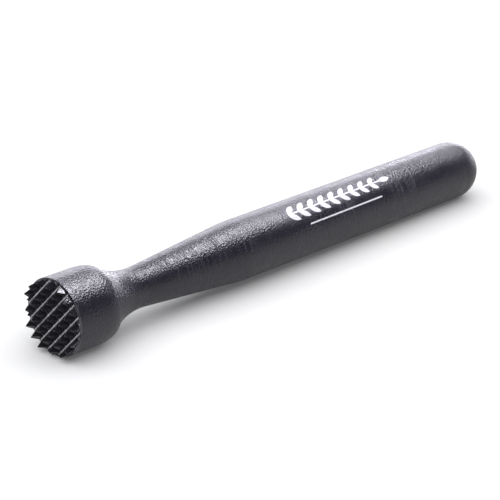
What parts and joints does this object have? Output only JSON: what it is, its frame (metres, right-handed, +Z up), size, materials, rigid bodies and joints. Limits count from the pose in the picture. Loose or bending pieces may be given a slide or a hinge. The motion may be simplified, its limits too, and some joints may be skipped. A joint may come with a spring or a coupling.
{
  "type": "muddler",
  "caption": "Straight bar muddler in moulded black plastic, with a round-ended grip, a tapered neck and a wide head that carries a face of pointed teeth.",
  "frame": {"origin": "on the table that the muddler lies on, under the middle of its length and width", "axes": "+X from the toothed face towards the round end, +Z up, as the muddler lies on a table; the tool's own axis dips 0.82 degrees towards the round end, because the head is wider than the grip"},
  "size_m": [0.2464, 0.032, 0.0321],
  "materials": {
    "body_plastic": "satin black, fine spark-eroded mould texture",
    "core_plastic": "plain moulded black, not seen",
    "tooth_plastic": "smoother satin black, cut in the mould",
    "print_ink": "white pad-printed ink film"
  },
  "bodies": {
    "root": {"body_skin": "body_plastic", "body_core": "core_plastic", "tooth_plate": "tooth_plastic", "printed_mark": "print_ink"}
  },
  "joints": []
}
